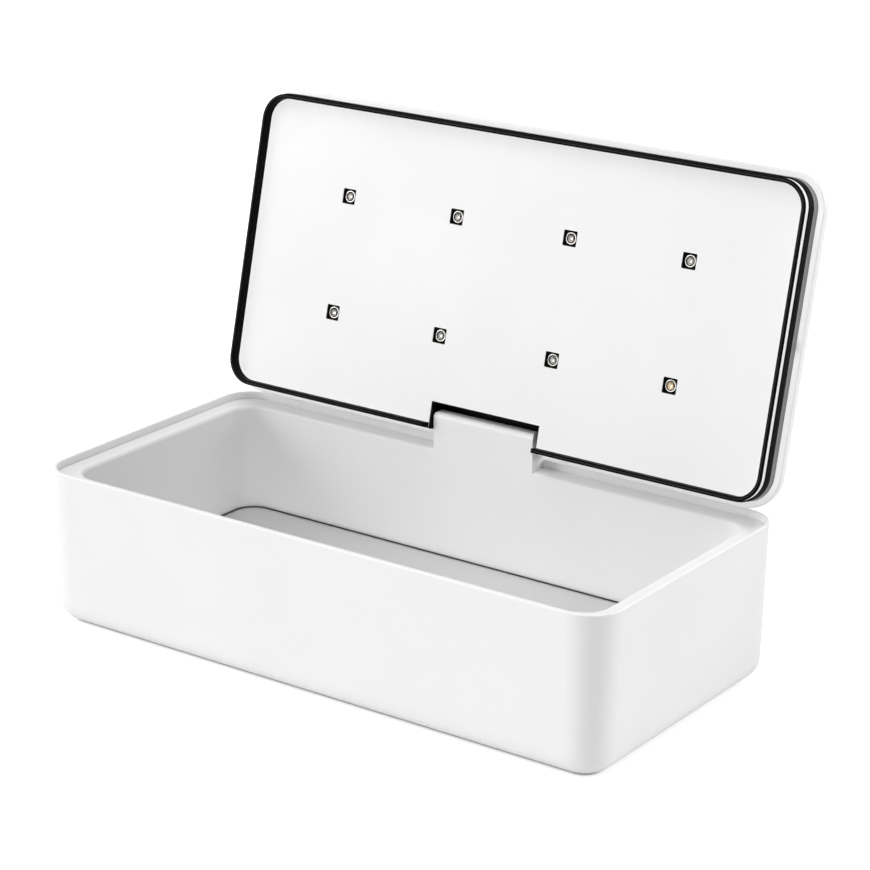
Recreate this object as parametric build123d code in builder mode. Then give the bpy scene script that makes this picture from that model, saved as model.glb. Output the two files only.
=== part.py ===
from build123d import *
import os
from math import cos, radians, tan

os.makedirs("parts", exist_ok=True)

# UV-C sanitiser box for phones: a drafted tray-shaped base, a deep inner tub, and a flat lid
# that carries two rows of UV lamps. The origin is the centre of the base's underside, +X runs
# along the case, +Y points to the hinge side and +Z is up. Everything on the lid is drawn with
# the lid shut and swung open once, so its rest pose is the fully open one.

# ---------------------------------------------------------------- case
CASE_LENGTH = 230.0
CASE_DEPTH = 113.0
BASE_HEIGHT = 56.0  # underside to the top of the lip
CASE_CORNER = 12.3  # corner radius seen from above
WALL_DRAFT = 1.2  # degrees, the base narrows downwards
BOTTOM_EDGE = 7.2  # roll of the wall into the underside
BASE_WALL = 2.0
BASE_FLOOR = 2.0

# lip and sealing ledge
LIP_THICKNESS = 1.3
LIP_ROUNDING = 0.4
LEDGE_DROP = 2.7  # lip top down to the ledge
LEDGE_WIDTH = 6.9  # lip to chamber wall
LEDGE_ROUNDING = 1.3
FLANGE_THICKNESS = 2.0
SEAM_GAP = 0.25  # dark line between the lip and the tub's flange

# chamber
CHAMBER_CORNER = 9.0
CHAMBER_DRAFT = 0.45
TUB_WALL = 1.8
TUB_FLOOR = 2.0
PLATE_THICKNESS = 1.2
PLATE_CORNER = 8.4
GASKET_WIDTH = 0.65
GASKET_RISE = 0.25  # gasket stands this much over the plate
GASKET_GAP = 0.1

# ---------------------------------------------------------------- electronics in the base
BOARD_STANDOFF = 3.0
BOARD_THICKNESS = 1.6
BOARD_LENGTH = 60.0
BOARD_DEPTH = 28.0
BOARD_X = 50.0
BOARD_SCREW_INSET = 4.0
SOCKET_WIDTH = 8.94
SOCKET_HEIGHT = 3.26
SOCKET_DEPTH = 7.35
SOCKET_WALL = 0.3
SOCKET_RECESS = 3.6  # outer wall to the socket's face
SOCKET_OVERHANG = 1.5  # socket beyond the board's edge
SOCKET_TONGUE = 0.7
PORT_MARGIN = 1.6  # room round the socket for the plug's body
TUB_CLEARANCE = 0.64  # socket top to the tub's underside
# centre on the board, then length, depth and height of each chip
CHIPS = {(-14.0, 4.0): (5.0, 5.0, 2.4), (-4.0, -5.0): (6.0, 5.0, 1.2), (12.0, -4.0): (4.0, 3.0, 1.0)}
SENSOR_SIZE = 3.0
SENSOR_LENGTH = 7.0
SENSOR_HEIGHT = 4.5
LEAD_RADIUS = 0.6
LEAD_BEND = 2.0
LEAD_ROOM = 0.2

# ---------------------------------------------------------------- feet and screws
FOOT_RADIUS = 6.0
FOOT_THICKNESS = 1.4
FOOT_POCKET = 0.9
FOOT_GAP = 0.2
FOOT_SPACING_X = 176.0
FOOT_SPACING_Y = 72.0
SCREW_RADIUS = 1.25
SCREW_HEAD_RADIUS = 2.4
SCREW_HEAD_HEIGHT = 1.4
SCREW_LENGTH = 6.5
SCREW_ROOM = 0.15
SCREW_BOSS = 4.2  # boss radius
SCREW_SEAT = 2.1  # plastic left under a screw head
SMALL_SCREW_RADIUS = 1.0
SMALL_HEAD_RADIUS = 1.9
SMALL_HEAD_HEIGHT = 1.2
SMALL_SCREW_LENGTH = 4.0
SMALL_BOSS = 2.6

# ---------------------------------------------------------------- hinge
HINGE_SETBACK = 4.8  # outer rear wall to the hinge axis
HINGE_RISE = 6.8  # lip top to the hinge axis
OPEN_ANGLE = 103.5
BLOCK_WIDTH = 42.2
BLOCK_SHIFT = 0.9  # block's centre to the left of the case's centre
BARREL_SETBACK = 0.6  # barrel to the outer rear wall
BLOCK_ROUNDING = 1.0  # seen from the front
BLOCK_FRONT_EDGE = 2.0
BLOCK_REAR_GAP = 0.2
SLOT_GAP = 1.75  # mean gap between the block and the lid's ears
PIN_RADIUS = 1.5
PIN_BORE = 0.85  # lead passage in the left pin
PIN_CLEARANCE = 0.05  # running fit in the block
PIN_SEAT = 0.02  # fit in the lid's ears
PIN_REACH = 7.3  # into the block
PIN_TIP = 0.3
BLOCK_BORE_DEPTH = 10.5
EAR_WIDTH = 8.0
EAR_REACH = 4.0  # ear in front of the axis
SWING_GAP = 0.3  # left between parts that swing past each other

# ---------------------------------------------------------------- lid
LID_GAP = 6.7  # lip to the shut lid shell's rim
LID_WALL = 1.6
LID_ROOF = 1.6
LID_DRAFT = 0.6
LID_TOP_EDGE = 5.0
RIM_ROUNDING = 0.5
RIM_LIP = 1.0  # inward lip of the shell, which the panel's hooks catch on
PANEL_RISE = 1.6  # lip to the shut panel's face
PANEL_THICKNESS = 1.8
PANEL_FIT = 0.05
NOTCH_REACH = 7.2  # notch edge in front of the hinge axis
LINER_WALL = 0.4
LINER_ROOF = 0.6
LINER_RECESS = 0.25

# band between the seal and the lid shell: a rubber gasket round the panel, then a grey trim ring
BAND_INSET = 2.3  # outer wall to the band's face
ROOT_GASKET_RISE = 0.65  # lip to the shut gasket
ROOT_GASKET_FLANGE = 0.4  # rubber between the panel and the trim ring
TRIM_WALL = 0.8

# seal
BOSS_INSET = 2.75  # outer wall to the boss that carries the seal
BOSS_WALL = 1.0
SEAL_GAP = 0.7  # shut seal to the ledge
SEAL_CAP = 0.7
SEAL_LEG = 0.45
SEAL_OVERHANG = 0.1
SEAL_ROUNDING = 0.4

# lamps
LAMP_COLUMNS = 4
LAMP_ROWS = 2
LAMP_PITCH = 47.4
LAMP_ROW_PITCH = 42.4
LAMP_WINDOW = 5.5
WINDOW_CORNER = 0.4
COLLAR_WALL = 0.3  # dark collar of the lamp board inside each window
COLLAR_SETBACK = 0.1  # panel's face to the collar
LAMP_SIZE = 3.9
LAMP_HEIGHT = 1.0
LAMP_CUP_TOP = 1.8
LAMP_CUP_BOTTOM = 1.7
LAMP_CUP_DEPTH = 0.6
LENS_RADIUS = 1.6
LENS_HEIGHT = 1.25
STRIP_MARGIN = 14.0  # board beyond its outermost lamps
STRIP_WIDTH = 12.0
STRIP_THICKNESS = 1.0
STAKE_RADIUS = 1.2
STAKE_HEIGHT = 1.8
STAKE_INSET = 4.0

# power button, indicator and control board
BUTTON_Y = -38.0
BUTTON_RADIUS = 6.8
BUTTON_TRAVEL = 0.6
BUTTON_GAP = 0.3
BUTTON_DISH = 0.35
BUTTON_FLANGE = 0.9  # flange beyond the button's side
BUTTON_FLANGE_THICKNESS = 0.8
RING_WIDTH = 1.1
RING_SHOULDER = 0.9
RING_SHOULDER_THICKNESS = 0.8
SWITCH_SIZE = 6.0
SWITCH_HEIGHT = 2.4
STEM_RADIUS = 1.7
STEM_SHOWING = 0.9
STEM_ENGAGED = 1.0
STEM_CLEARANCE = 0.15
CONTROL_LENGTH = 46.0
CONTROL_DEPTH = 13.0
CONTROL_THICKNESS = 1.2
CONTROL_POST_SPACING = 36.0
MAGNET_RADIUS = 2.0
MAGNET_HEIGHT = 2.0
MAGNET_CUP_WALL = 0.8

# panel hooks, which snap over the shell's lip and clamp the trim ring
HOOK_WIDTH = 8.0
HOOK_THICKNESS = 1.2
HOOK_TIP = 1.2
HOOK_BARB = 1.4
HOOK_GAP = 0.2
HOOK_PITCH = 70.0
HOOK_PLAY = 0.2

# ---------------------------------------------------------------- worked-out places
HALF_LENGTH = CASE_LENGTH / 2
HALF_DEPTH = CASE_DEPTH / 2
LEDGE_Z = BASE_HEIGHT - LEDGE_DROP
FLANGE_SEAT = LEDGE_Z - FLANGE_THICKNESS
CHAMBER_INSET = LIP_THICKNESS + LEDGE_WIDTH
BOARD_TOP = BASE_FLOOR + BOARD_STANDOFF + BOARD_THICKNESS
TUB_BOTTOM = BOARD_TOP + SOCKET_HEIGHT + TUB_CLEARANCE
TUB_FLOOR_Z = TUB_BOTTOM + TUB_FLOOR
CHAMBER_SHRINK = (LEDGE_Z - TUB_FLOOR_Z) * tan(radians(CHAMBER_DRAFT))
FLOOR_INSET = CHAMBER_INSET + CHAMBER_SHRINK
PLATE_INSET = FLOOR_INSET + GASKET_GAP + GASKET_WIDTH
SCREW_FLOOR = FOOT_POCKET + SCREW_HEAD_HEIGHT + SCREW_SEAT

HINGE_Y = HALF_DEPTH - HINGE_SETBACK
HINGE_Z = BASE_HEIGHT + HINGE_RISE
BARREL_RADIUS = HINGE_SETBACK - BARREL_SETBACK
BLOCK_FRONT = HALF_DEPTH - CHAMBER_INSET
BLOCK_REAR = HALF_DEPTH - LIP_THICKNESS - BLOCK_REAR_GAP
BLOCK_LEFT = -BLOCK_SHIFT - BLOCK_WIDTH / 2
BLOCK_RIGHT = BLOCK_WIDTH / 2 - BLOCK_SHIFT
NOTCH_HALF = BLOCK_WIDTH / 2 + SLOT_GAP
NOTCH_FRONT = HINGE_Y - NOTCH_REACH
LEAD_X = BLOCK_LEFT + BLOCK_BORE_DEPTH - PIN_RADIUS

RIM_Z = BASE_HEIGHT + LID_GAP
PANEL_Z = BASE_HEIGHT + PANEL_RISE
PANEL_TOP = PANEL_Z + PANEL_THICKNESS
ROOF_Z = HINGE_Z + BARREL_RADIUS + SWING_GAP + LINER_ROOF
LID_TOP = ROOF_Z + LID_ROOF
SEAL_BOTTOM = LEDGE_Z + SEAL_GAP
BOSS_BOTTOM = SEAL_BOTTOM + SEAL_CAP
SEAL_INNER = BOSS_INSET + BOSS_WALL + SEAL_LEG
SEAL_END = NOTCH_HALF + SEAL_LEG
EARS_END = NOTCH_HALF + EAR_WIDTH
BOSS_REAR = HALF_DEPTH - BOSS_INSET
TRIM_FOOT = PANEL_TOP + ROOT_GASKET_FLANGE
TRIM_TOP = RIM_Z + RIM_LIP
TRIM_INNER = BAND_INSET + TRIM_WALL
SLOT_LEAN = radians(OPEN_ANGLE - 90)
SLOT_TOP = HINGE_Z + (BLOCK_REAR - HINGE_Y) / cos(SLOT_LEAN) + HINGE_SETBACK * tan(SLOT_LEAN) + SWING_GAP
RING_RADIUS = BUTTON_RADIUS + BUTTON_GAP + RING_WIDTH
RING_FOOT = ROOF_Z - RING_SHOULDER_THICKNESS
FLANGE_TOP = RING_FOOT - BUTTON_GAP
FLANGE_BOTTOM = FLANGE_TOP - BUTTON_FLANGE_THICKNESS
SWITCH_TOP = FLANGE_BOTTOM - STEM_SHOWING
CONTROL_TOP = SWITCH_TOP - SWITCH_HEIGHT

FOOT_SPOTS = GridLocations(FOOT_SPACING_X, FOOT_SPACING_Y, 2, 2)
SOCKET_FACE = HALF_DEPTH - SOCKET_RECESS
BOARD_Y = SOCKET_FACE - SOCKET_OVERHANG - BOARD_DEPTH / 2
BOARD_SPOTS = GridLocations(BOARD_LENGTH - 2 * BOARD_SCREW_INSET, 0, 2, 1)
LAMP_SPOTS = GridLocations(LAMP_PITCH, LAMP_ROW_PITCH, LAMP_COLUMNS, LAMP_ROWS)
STRIP_LENGTH = (LAMP_COLUMNS - 1) * LAMP_PITCH + 2 * STRIP_MARGIN
STRIP_TOP = PANEL_TOP + STRIP_THICKNESS
STAKE_SPOTS = GridLocations(STRIP_LENGTH - 2 * STAKE_INSET, LAMP_ROW_PITCH, 2, LAMP_ROWS)
CONTROL_SPOTS = GridLocations(CONTROL_POST_SPACING, 0, 2, 1)
HOOK_ROWS = ((-1, GridLocations(HOOK_PITCH, 0, 3, 1)), (1, GridLocations(2 * HOOK_PITCH, 0, 2, 1)))
SENSOR_X = HALF_LENGTH - BASE_WALL - (CHAMBER_INSET - TUB_WALL - BASE_WALL) / 2
MAGNET_X = HALF_LENGTH - TRIM_INNER - PANEL_FIT - MAGNET_RADIUS - MAGNET_CUP_WALL
LEAD_SPLICE = (BLOCK_LEFT - NOTCH_HALF) / 2  # the two leads meet inside the left pin
LEAD_TURN_X = -EARS_END - 3 * LEAD_BEND
LID_OPENED = Pos(0, HINGE_Y, HINGE_Z) * Rot(-OPEN_ANGLE, 0, 0) * Pos(0, -HINGE_Y, -HINGE_Z)


# ---------------------------------------------------------------- shared operations
def outline(inset, corner=None, mode=Mode.ADD):
    """The case's outline seen from above, drawn a given distance inside its outer wall."""
    radius = CASE_CORNER - inset if corner is None else corner
    RectangleRounded(CASE_LENGTH - 2 * inset, CASE_DEPTH - 2 * inset, radius, mode=mode)


def slab(inset, low, high, corner=None, taper=0.0, mode=Mode.ADD):
    """A layer of that outline, drawn at low and extruded to high."""
    with BuildSketch(Plane.XY.offset(low)) as layer:
        outline(inset, corner)
    extrude(layer.sketch, amount=high - low, taper=taper, mode=mode)


def ring(outer_inset, inner_inset, low, high):
    """A frame of constant width that follows the case's outline."""
    with BuildSketch(Plane.XY.offset(low)) as layer:
        outline(outer_inset)
        outline(inner_inset, mode=Mode.SUBTRACT)
    extrude(layer.sketch, amount=high - low)


def discs(radius, low, high, spots, mode=Mode.ADD):
    """Equal upright cylinders at a pattern of places."""
    with BuildSketch(Plane.XY.offset(low)) as layer:
        with spots:
            Circle(radius)
    extrude(layer.sketch, amount=high - low, mode=mode)


def block(x_range, y_range, z_range, mode=Mode.ADD):
    """A rectangular block between two corners."""
    with BuildSketch(Plane.XY.offset(z_range[0])) as layer:
        with Locations(((x_range[0] + x_range[1]) / 2, (y_range[0] + y_range[1]) / 2)):
            Rectangle(x_range[1] - x_range[0], y_range[1] - y_range[0])
    extrude(layer.sketch, amount=z_range[1] - z_range[0], mode=mode)


def hinge_round(radius, start, end, mode=Mode.ADD):
    """A cylinder about the hinge axis from one X to another."""
    with BuildSketch(Plane.YZ.offset(start)) as layer:
        with Locations((HINGE_Y, HINGE_Z)):
            Circle(radius)
    extrude(layer.sketch, amount=end - start, mode=mode)


def ears_room():
    """Cuts a ring on the panel's edge clear of the hinge block and the lid's ears."""
    end = EARS_END + PANEL_FIT
    block((-end, end), (HINGE_Y, HALF_DEPTH), (PANEL_TOP, TRIM_TOP), Mode.SUBTRACT)


def lead(points, bends):
    """An insulated lead: straight runs joined by tangent arcs, swept with a round section."""
    with BuildLine() as route:
        FilletPolyline(*points, radius=bends)
    with BuildSketch(Plane(origin=route.line @ 0, z_dir=route.line % 0)) as section:
        Circle(LEAD_RADIUS)
    sweep(section.sketch, path=route.line)


def finish(piece, name):
    """Labels a piece and writes it as its own node."""
    piece.part.label = name
    export_step(piece.part, f"parts/{name}.step")


def finish_on_lid(piece, name):
    """Swings a piece of the lid from its shut place to the open rest pose and writes it."""
    piece.part.move(LID_OPENED)
    finish(piece, name)


# ---------------------------------------------------------------- base shell
with BuildPart() as shell_hollow:
    slab(BASE_WALL, BASE_HEIGHT, BASE_FLOOR, taper=WALL_DRAFT)
    fillet(shell_hollow.faces().sort_by(Axis.Z)[0].edges(), BOTTOM_EDGE - BASE_WALL)

with BuildPart() as base_shell:
    slab(0, BASE_HEIGHT, 0, taper=WALL_DRAFT)
    fillet(base_shell.faces().sort_by(Axis.Z)[0].edges(), BOTTOM_EDGE)
    add(shell_hollow.part, mode=Mode.SUBTRACT)
    slab(LIP_THICKNESS, FLANGE_SEAT, BASE_HEIGHT, mode=Mode.SUBTRACT)
    fillet(base_shell.faces().sort_by(Axis.Z)[-1].edges(), LIP_ROUNDING)
    # bosses over the feet take the screws that hold the tub
    discs(SCREW_BOSS, BASE_FLOOR / 2, SCREW_FLOOR, FOOT_SPOTS)
    discs(FOOT_RADIUS + FOOT_GAP, 0, FOOT_POCKET, FOOT_SPOTS, mode=Mode.SUBTRACT)
    discs(SCREW_HEAD_RADIUS + SCREW_ROOM, 0, FOOT_POCKET + SCREW_HEAD_HEIGHT, FOOT_SPOTS, mode=Mode.SUBTRACT)
    discs(SCREW_RADIUS + SCREW_ROOM, 0, SCREW_FLOOR, FOOT_SPOTS, mode=Mode.SUBTRACT)
    # standoffs of the power board
    with BuildSketch(Plane.XY.offset(BASE_FLOOR / 2)):
        with Locations((BOARD_X, BOARD_Y)):
            with BOARD_SPOTS:
                Circle(SMALL_BOSS)
    extrude(amount=BASE_FLOOR / 2 + BOARD_STANDOFF)
    with BuildSketch(Plane.XY.offset(BASE_FLOOR)):
        with Locations((BOARD_X, BOARD_Y)):
            with BOARD_SPOTS:
                Circle(SMALL_SCREW_RADIUS)
    extrude(amount=BOARD_STANDOFF, mode=Mode.SUBTRACT)
    # port for the plug in the rear wall
    with BuildSketch(Plane.XZ.offset(-HALF_DEPTH)):
        with Locations((BOARD_X, BOARD_TOP + SOCKET_HEIGHT / 2)):
            SlotOverall(SOCKET_WIDTH + 2 * PORT_MARGIN, SOCKET_HEIGHT + 2 * PORT_MARGIN)
    extrude(amount=SOCKET_RECESS + BASE_WALL, mode=Mode.SUBTRACT)
finish(base_shell, "base_shell")

# ---------------------------------------------------------------- inner tub with the hinge block
with BuildPart() as hinge_block:
    # side view: a stem in line with the chamber's rear wall, and a barrel about the hinge axis
    with BuildSketch(Plane.YZ.offset(BLOCK_LEFT)):
        with Locations((BLOCK_FRONT, HINGE_Z)):
            Rectangle(BLOCK_REAR - BLOCK_FRONT, HINGE_Z - FLANGE_SEAT, align=(Align.MIN, Align.MAX))
            Rectangle(HINGE_Y - BLOCK_FRONT, BARREL_RADIUS, align=(Align.MIN, Align.MIN))
        with Locations((HINGE_Y, HINGE_Z)):
            Circle(BARREL_RADIUS)
        with Locations((BLOCK_FRONT, HINGE_Z)):
            Rectangle(BARREL_RADIUS, 3 * BARREL_RADIUS, 0, (Align.MAX, Align.CENTER), Mode.SUBTRACT)
    extrude(amount=BLOCK_WIDTH)
    fillet(hinge_block.faces().sort_by(Axis.Y)[0].edges().sort_by(Axis.Z)[-1], BLOCK_FRONT_EDGE)
    # front view: rounded upper corners
    with BuildSketch(Plane.XZ.offset(-HALF_DEPTH)) as front_view:
        with Locations((-BLOCK_SHIFT, FLANGE_SEAT)):
            Rectangle(BLOCK_WIDTH, HINGE_Z + BARREL_RADIUS - FLANGE_SEAT, align=(Align.CENTER, Align.MIN))
        fillet(front_view.vertices().group_by(Axis.Y)[-1], BLOCK_ROUNDING)
    extrude(amount=HALF_DEPTH, mode=Mode.INTERSECT)
    hinge_round(PIN_RADIUS + PIN_CLEARANCE, BLOCK_LEFT, BLOCK_LEFT + BLOCK_BORE_DEPTH, mode=Mode.SUBTRACT)
    hinge_round(PIN_RADIUS + PIN_CLEARANCE, BLOCK_RIGHT - BLOCK_BORE_DEPTH, BLOCK_RIGHT, mode=Mode.SUBTRACT)
    # passage for the lamp lead, from under the ledge up to the left bore
    with BuildSketch(Plane.XY.offset(FLANGE_SEAT)):
        with Locations((LEAD_X, HINGE_Y)):
            Circle(PIN_RADIUS)
    extrude(amount=HINGE_Z - FLANGE_SEAT, mode=Mode.SUBTRACT)

with BuildPart() as inner_tub:
    slab(LIP_THICKNESS + SEAM_GAP, FLANGE_SEAT, LEDGE_Z)
    slab(CHAMBER_INSET - TUB_WALL, LEDGE_Z, TUB_BOTTOM, CHAMBER_CORNER + TUB_WALL, CHAMBER_DRAFT)
    discs(SCREW_BOSS, SCREW_FLOOR, TUB_BOTTOM + TUB_FLOOR / 2, FOOT_SPOTS)
    slab(CHAMBER_INSET, LEDGE_Z, TUB_FLOOR_Z, CHAMBER_CORNER, CHAMBER_DRAFT, Mode.SUBTRACT)
    ledge = inner_tub.faces().filter_by_position(Axis.Z, LEDGE_Z, LEDGE_Z)[0]
    fillet(ledge.inner_wires()[0].edges(), LEDGE_ROUNDING)
    block((BLOCK_LEFT, BLOCK_RIGHT), (BLOCK_FRONT, BLOCK_REAR), (FLANGE_SEAT, LEDGE_Z), Mode.SUBTRACT)
    add(hinge_block.part)
    # pilot holes for the screws from below
    discs(SCREW_RADIUS, SCREW_FLOOR, TUB_BOTTOM + TUB_FLOOR / 2, FOOT_SPOTS, mode=Mode.SUBTRACT)
finish(inner_tub, "inner_tub")

# ---------------------------------------------------------------- chamber floor
with BuildPart() as floor_plate:
    slab(PLATE_INSET, TUB_FLOOR_Z, TUB_FLOOR_Z + PLATE_THICKNESS, corner=PLATE_CORNER)
finish(floor_plate, "floor_plate")

with BuildPart() as floor_gasket:
    with BuildSketch(Plane.XY.offset(TUB_FLOOR_Z)):
        outline(PLATE_INSET - GASKET_WIDTH, corner=PLATE_CORNER + GASKET_WIDTH)
        outline(PLATE_INSET, corner=PLATE_CORNER, mode=Mode.SUBTRACT)
    extrude(amount=PLATE_THICKNESS + GASKET_RISE)
finish(floor_gasket, "floor_gasket")

# ---------------------------------------------------------------- electronics in the base
with BuildPart() as power_board:
    with BuildSketch(Plane.XY.offset(BOARD_TOP - BOARD_THICKNESS)):
        with Locations((BOARD_X, BOARD_Y)):
            RectangleRounded(BOARD_LENGTH, BOARD_DEPTH, SMALL_SCREW_RADIUS)
            with BOARD_SPOTS:
                Circle(SMALL_SCREW_RADIUS + SCREW_ROOM, mode=Mode.SUBTRACT)
    extrude(amount=BOARD_THICKNESS)
    # regulator, coil and controller
    for centre, chip in CHIPS.items():
        with BuildSketch(Plane.XY.offset(BOARD_TOP)):
            with Locations((BOARD_X + centre[0], BOARD_Y + centre[1])):
                Rectangle(chip[0], chip[1])
        extrude(amount=chip[2])
finish(power_board, "power_board")

with BuildPart() as usb_socket:
    with BuildSketch(Plane.XZ.offset(-SOCKET_FACE)):
        with Locations((BOARD_X, BOARD_TOP + SOCKET_HEIGHT / 2)):
            SlotOverall(SOCKET_WIDTH, SOCKET_HEIGHT)
    extrude(amount=SOCKET_DEPTH)
    with BuildSketch(Plane.XZ.offset(-SOCKET_FACE)):
        with Locations((BOARD_X, BOARD_TOP + SOCKET_HEIGHT / 2)):
            SlotOverall(SOCKET_WIDTH - 2 * SOCKET_WALL, SOCKET_HEIGHT - 2 * SOCKET_WALL)
            Rectangle(SOCKET_WIDTH - SOCKET_HEIGHT, SOCKET_TONGUE, mode=Mode.SUBTRACT)
    extrude(amount=SOCKET_DEPTH - SOCKET_OVERHANG, mode=Mode.SUBTRACT)
finish(usb_socket, "usb_socket")

with BuildPart() as board_screws:
    with BuildSketch(Plane.XY.offset(BOARD_TOP)):
        with Locations((BOARD_X, BOARD_Y)):
            with BOARD_SPOTS:
                Circle(SMALL_HEAD_RADIUS)
    extrude(amount=SMALL_HEAD_HEIGHT)
    fillet(board_screws.faces().group_by(Axis.Z)[-1].edges(), SMALL_HEAD_HEIGHT / 3)
    with BuildSketch(Plane.XY.offset(BOARD_TOP)):
        with Locations((BOARD_X, BOARD_Y)):
            with BOARD_SPOTS:
                Circle(SMALL_SCREW_RADIUS)
    extrude(amount=-SMALL_SCREW_LENGTH)
finish(board_screws, "board_screws")

with BuildPart() as lid_sensor:
    block(
        (SENSOR_X - SENSOR_SIZE / 2, SENSOR_X + SENSOR_SIZE / 2),
        (-SENSOR_LENGTH / 2, SENSOR_LENGTH / 2),
        (FLANGE_SEAT - SENSOR_HEIGHT, FLANGE_SEAT),
    )
finish(lid_sensor, "lid_sensor")

LEAD_Z = BOARD_TOP + LEAD_RADIUS
with BuildPart() as sensor_lead:
    lead(
        [
            (SENSOR_X, 0, FLANGE_SEAT - SENSOR_HEIGHT),
            (SENSOR_X, 0, LEAD_Z),
            (BOARD_X + BOARD_LENGTH / 2, 0, LEAD_Z),
            (BOARD_X + BOARD_LENGTH / 3, BOARD_Y - BOARD_DEPTH / 3, LEAD_Z),
        ],
        2 * LEAD_BEND,
    )
finish(sensor_lead, "sensor_lead")

with BuildPart() as hinge_lead:
    lead(
        [
            (BOARD_X - BOARD_LENGTH / 3, BOARD_Y + BOARD_DEPTH / 4, LEAD_Z),
            (LEAD_X, HINGE_Y, LEAD_Z),
            (LEAD_X, HINGE_Y, HINGE_Z),
            (LEAD_SPLICE + LEAD_ROOM, HINGE_Y, HINGE_Z),
        ],
        LEAD_BEND,
    )
finish(hinge_lead, "hinge_lead")

# ---------------------------------------------------------------- feet and their screws
with BuildPart() as feet:
    discs(FOOT_RADIUS, FOOT_POCKET - FOOT_THICKNESS, FOOT_POCKET, FOOT_SPOTS)
    chamfer(feet.faces().group_by(Axis.Z)[0].edges(), (FOOT_THICKNESS - FOOT_POCKET) * 0.8)
finish(feet, "feet")

head_top = FOOT_POCKET + SCREW_HEAD_HEIGHT
with BuildPart() as bottom_screws:
    discs(SCREW_HEAD_RADIUS, FOOT_POCKET + SCREW_ROOM, head_top, FOOT_SPOTS)
    discs(SCREW_RADIUS, head_top, head_top + SCREW_LENGTH, FOOT_SPOTS)
finish(bottom_screws, "bottom_screws")

# ---------------------------------------------------------------- lid shell
with BuildPart() as lid_hollow:
    slab(LID_WALL, RIM_Z + RIM_LIP, ROOF_Z, taper=LID_DRAFT)
    fillet(lid_hollow.faces().sort_by(Axis.Z)[-1].edges(), LID_TOP_EDGE - LID_ROOF)

with BuildPart() as lid_shell:
    slab(0, RIM_Z, LID_TOP, taper=LID_DRAFT)
    fillet(lid_shell.faces().sort_by(Axis.Z)[-1].edges(), LID_TOP_EDGE)
    fillet(lid_shell.faces().sort_by(Axis.Z)[0].edges(), RIM_ROUNDING)
    add(lid_hollow.part, mode=Mode.SUBTRACT)
    slab(BAND_INSET - PANEL_FIT, RIM_Z, RIM_Z + RIM_LIP, mode=Mode.SUBTRACT)
    # ears that hold the hinge pins, one on each side of the block
    for low, high in ((-EARS_END, -NOTCH_HALF), (NOTCH_HALF, EARS_END)):
        block((low, high), (HINGE_Y - EAR_REACH, HALF_DEPTH - LID_WALL), (PANEL_TOP + PANEL_FIT, ROOF_Z))
        hinge_round(PIN_RADIUS + PIN_SEAT, low, high, mode=Mode.SUBTRACT)
    # slot that lets the hinge block through the rear wall
    block((-NOTCH_HALF, NOTCH_HALF), (HINGE_Y, HALF_DEPTH), (RIM_Z, SLOT_TOP), Mode.SUBTRACT)
    # opening for the button and posts for the control board
    with BuildSketch(Plane.XY.offset(ROOF_Z)):
        with Locations((0, BUTTON_Y)):
            Circle(RING_RADIUS)
    extrude(amount=LID_ROOF, mode=Mode.SUBTRACT)
    with BuildSketch(Plane.XY.offset(CONTROL_TOP)):
        with Locations((0, BUTTON_Y)):
            with CONTROL_SPOTS:
                Circle(SMALL_BOSS)
                Circle(SMALL_SCREW_RADIUS, mode=Mode.SUBTRACT)
    extrude(amount=ROOF_Z - CONTROL_TOP)
finish_on_lid(lid_shell, "lid_shell")

# ---------------------------------------------------------------- inner panel of the lid
with BuildPart() as lid_panel:
    slab(BOSS_INSET, PANEL_Z, PANEL_TOP)
    ring(BOSS_INSET, BOSS_INSET + BOSS_WALL, BOSS_BOTTOM, PANEL_Z)
    block((-SEAL_END, SEAL_END), (BOSS_REAR - BOSS_WALL, HALF_DEPTH), (BOSS_BOTTOM, PANEL_Z), Mode.SUBTRACT)
    block((-NOTCH_HALF, NOTCH_HALF), (NOTCH_FRONT, HALF_DEPTH), (BOSS_BOTTOM, PANEL_TOP), Mode.SUBTRACT)
    # a window for each lamp and stakes for the lamp boards
    with BuildSketch(Plane.XY.offset(PANEL_Z)):
        with LAMP_SPOTS:
            RectangleRounded(LAMP_WINDOW, LAMP_WINDOW, WINDOW_CORNER)
    extrude(amount=PANEL_THICKNESS, mode=Mode.SUBTRACT)
    discs(STAKE_RADIUS, PANEL_TOP, PANEL_TOP + STAKE_HEIGHT, STAKE_SPOTS)
    # cup for the sensor magnet
    with BuildSketch(Plane.XY.offset(PANEL_TOP)):
        with Locations((MAGNET_X, 0)):
            Circle(MAGNET_RADIUS + MAGNET_CUP_WALL)
            Circle(MAGNET_RADIUS + PANEL_FIT, mode=Mode.SUBTRACT)
    extrude(amount=MAGNET_HEIGHT)
    # hooks with outward barbs
    for side, spots in HOOK_ROWS:
        stem_y = side * (HALF_DEPTH - TRIM_INNER - HOOK_GAP - HOOK_THICKNESS / 2)
        barb_y = stem_y + side * HOOK_BARB / 2
        barb_z = TRIM_TOP + HOOK_PLAY
        with BuildSketch(Plane.XY.offset(PANEL_TOP)) as stems:
            with Locations((0, stem_y)):
                with spots:
                    Rectangle(HOOK_WIDTH, HOOK_THICKNESS)
        extrude(stems.sketch, amount=barb_z + HOOK_TIP - PANEL_TOP)
        with BuildSketch(Plane.XY.offset(barb_z)) as barbs:
            with Locations((0, barb_y)):
                with spots:
                    Rectangle(HOOK_WIDTH, HOOK_THICKNESS + HOOK_BARB)
        extrude(barbs.sketch, amount=HOOK_TIP)
finish_on_lid(lid_panel, "lid_panel")

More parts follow.
